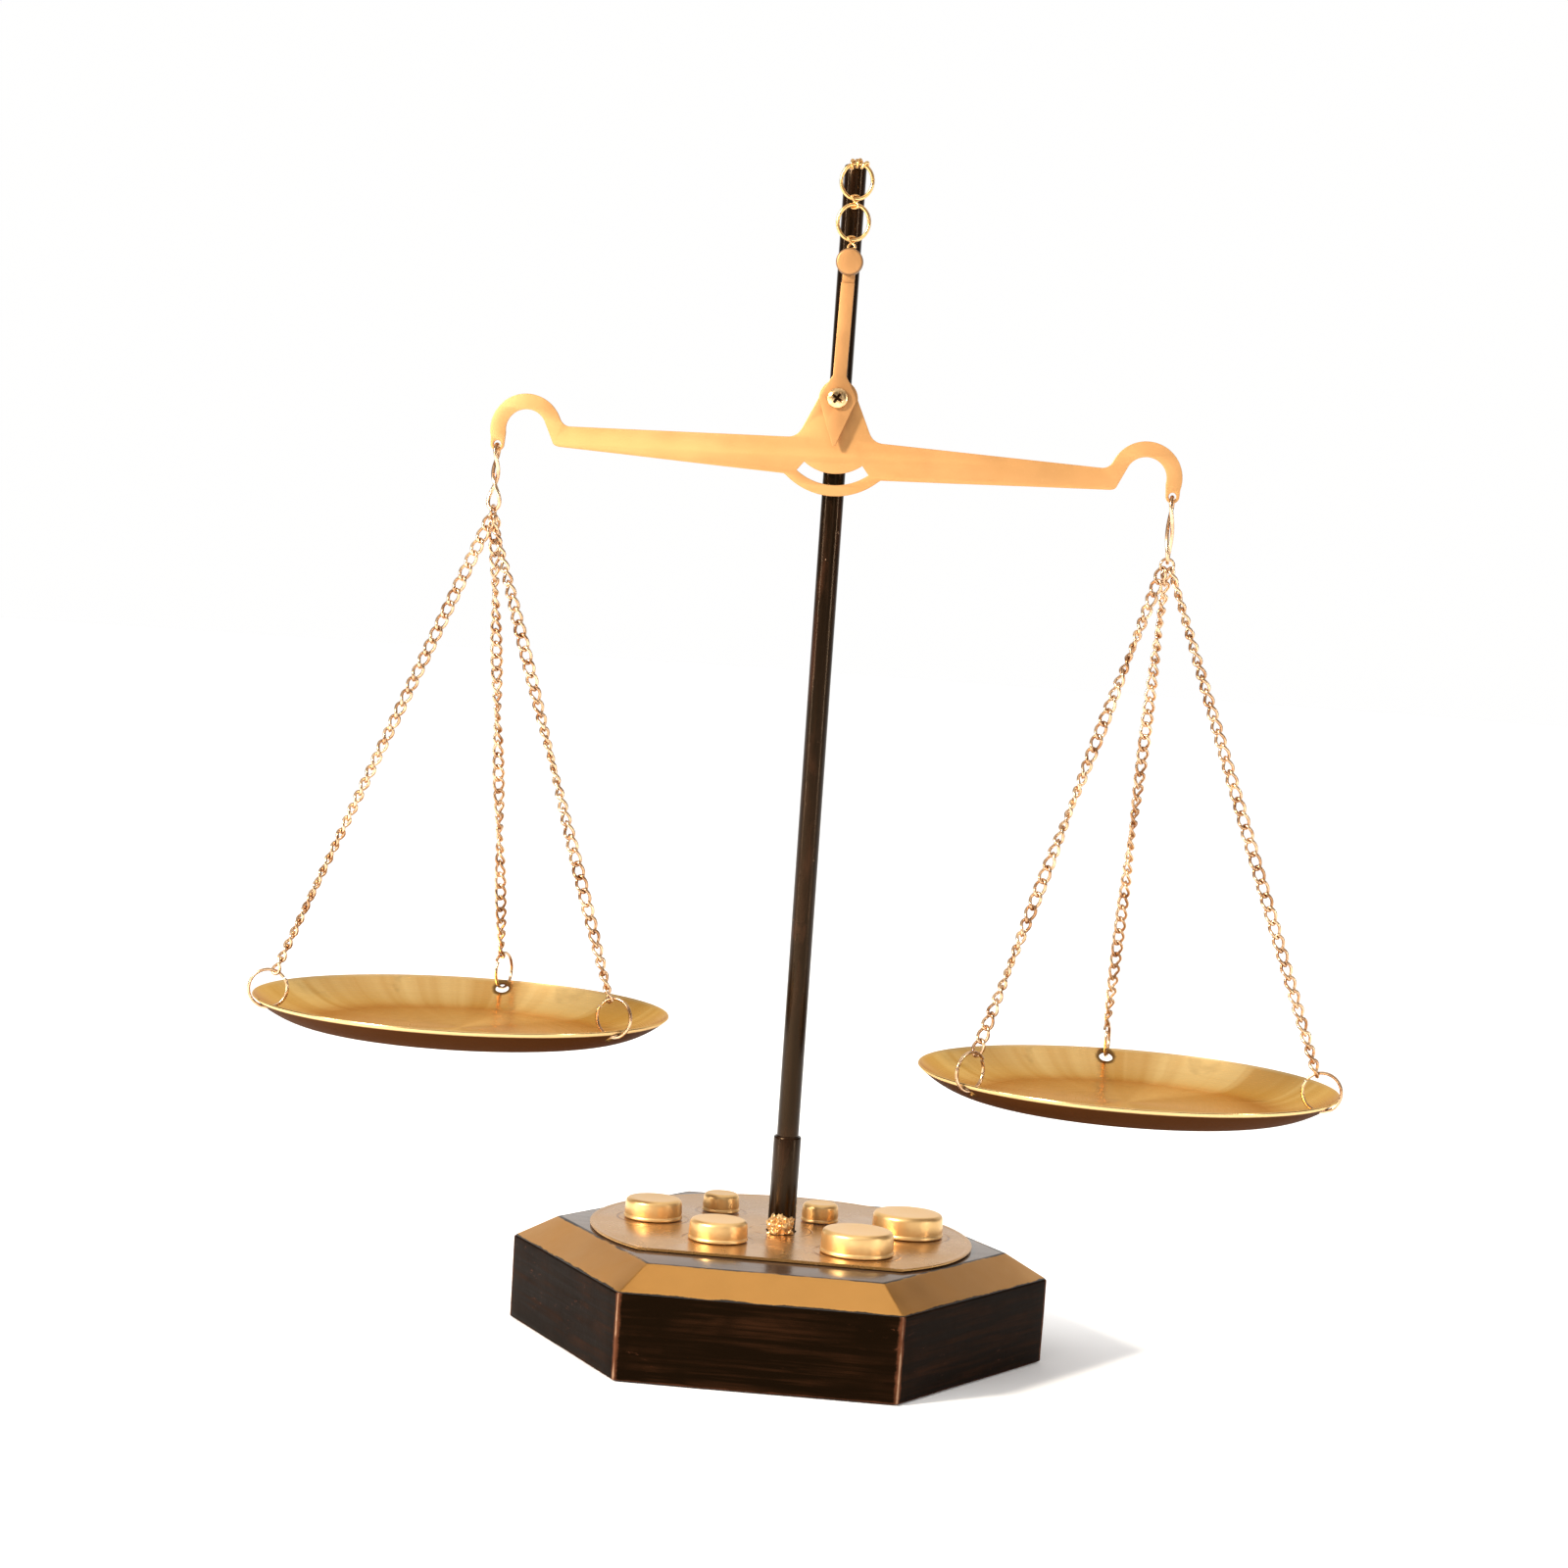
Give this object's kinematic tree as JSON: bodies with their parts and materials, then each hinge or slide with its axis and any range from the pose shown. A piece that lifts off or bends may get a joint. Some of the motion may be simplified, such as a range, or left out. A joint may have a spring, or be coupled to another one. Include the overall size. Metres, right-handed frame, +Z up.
{
  "type": "balance scale",
  "caption": "Equal-arm balance with a flat beam on a slim post, pans hung on chains, and small weights standing on a six-sided base.",
  "frame": {"origin": "middle of the six-sided underside, on the surface the scale stands on, below the post's axis", "axes": "+Z up along the post, +X along the beam to the viewer's right, -Y towards the front, where the pivot screw is"},
  "size_m": [0.3939, 0.1698, 0.4296],
  "materials": {
    "gold_paint": "satin gold, slightly metallic, worn brown in the corners",
    "pan_brass": "spun brass with fine rings and bright streaks",
    "dark_antique": "glossy near-black brown, rubbed reddish on the edges",
    "chain_gold": "polished pale rose gold wire",
    "plain_steel": "plain zinc-plated steel",
    "felt": "thin black felt"
  },
  "bodies": {
    "stand": {"base_pad": "felt", "base_floor": "plain_steel", "base_shell": "dark_antique", "top_disc": "gold_paint", "weight_medium_left": "gold_paint", "weight_small_left": "gold_paint", "weight_medium_front": "gold_paint", "weight_small_right": "gold_paint", "weight_large_right": "gold_paint", "weight_large_front": "gold_paint", "post_bolt": "plain_steel", "post_washer": "plain_steel", "post_rod": "dark_antique", "post_socket": "dark_antique", "socket_weld": "gold_paint", "post_eye": "gold_paint", "rear_spacer": "plain_steel", "front_spacer": "plain_steel", "pivot_screw": "gold_paint", "pointer_plate": "gold_paint", "hanger_tab": "gold_paint", "hanger_button": "gold_paint", "ring_lower": "gold_paint", "ring_upper": "gold_paint", "link_lower": "gold_paint", "link_upper": "gold_paint"},
    "beam": {"beam": "gold_paint"},
    "left_hook": {"left_hook": "chain_gold"},
    "left_gather": {"left_gather_ring": "chain_gold"},
    "left_pan_set": {"left_pan": "pan_brass", "left_ring_back": "chain_gold", "left_ring_outer": "chain_gold", "left_ring_front": "chain_gold", "left_chain_back": "chain_gold", "left_chain_outer": "chain_gold", "left_chain_front": "chain_gold"},
    "right_hook": {"right_hook": "chain_gold"},
    "right_gather": {"right_gather_ring": "chain_gold"},
    "right_pan_set": {"right_pan": "pan_brass", "right_ring_back": "chain_gold", "right_ring_front": "chain_gold", "right_ring_outer": "chain_gold", "right_chain_back": "chain_gold", "right_chain_front": "chain_gold", "right_chain_outer": "chain_gold"}
  },
  "joints": [
    {"name": "beam_tilt", "type": "hinge", "parent": "stand", "child": "beam", "pos_m": [0, -0.00655, 0.343], "axis": [0, 1, 0], "range_deg": [-15, 15]},
    {"name": "left_hook_level", "type": "hinge", "parent": "beam", "child": "left_hook", "pos_m": [-0.12176, -0.00655, 0.31887], "axis": [0, 1, 0], "range_deg": [-15, 15]},
    {"name": "left_sway", "type": "hinge", "parent": "left_hook", "child": "left_gather", "pos_m": [-0.12176, -0.00655, 0.29537], "axis": [0, 1, 0], "range_deg": [-6, 6]},
    {"name": "left_swing", "type": "hinge", "parent": "left_gather", "child": "left_pan_set", "pos_m": [-0.12176, -0.00655, 0.29192], "axis": [1, 0, 0], "range_deg": [-8, 8]},
    {"name": "right_hook_level", "type": "hinge", "parent": "beam", "child": "right_hook", "pos_m": [0.12123, -0.00655, 0.31633], "axis": [0, 1, 0], "range_deg": [-15, 15]},
    {"name": "right_sway", "type": "hinge", "parent": "right_hook", "child": "right_gather", "pos_m": [0.12123, -0.00655, 0.29283], "axis": [0, 1, 0], "range_deg": [-6, 6]},
    {"name": "right_swing", "type": "hinge", "parent": "right_gather", "child": "right_pan_set", "pos_m": [0.12123, -0.00655, 0.28938], "axis": [1, 0, 0], "range_deg": [-8, 8]}
  ],
  "couplings": [
    {"joint": "left_hook_level", "follows": "beam_tilt", "ratio": -1},
    {"joint": "right_hook_level", "follows": "beam_tilt", "ratio": -1}
  ]
}
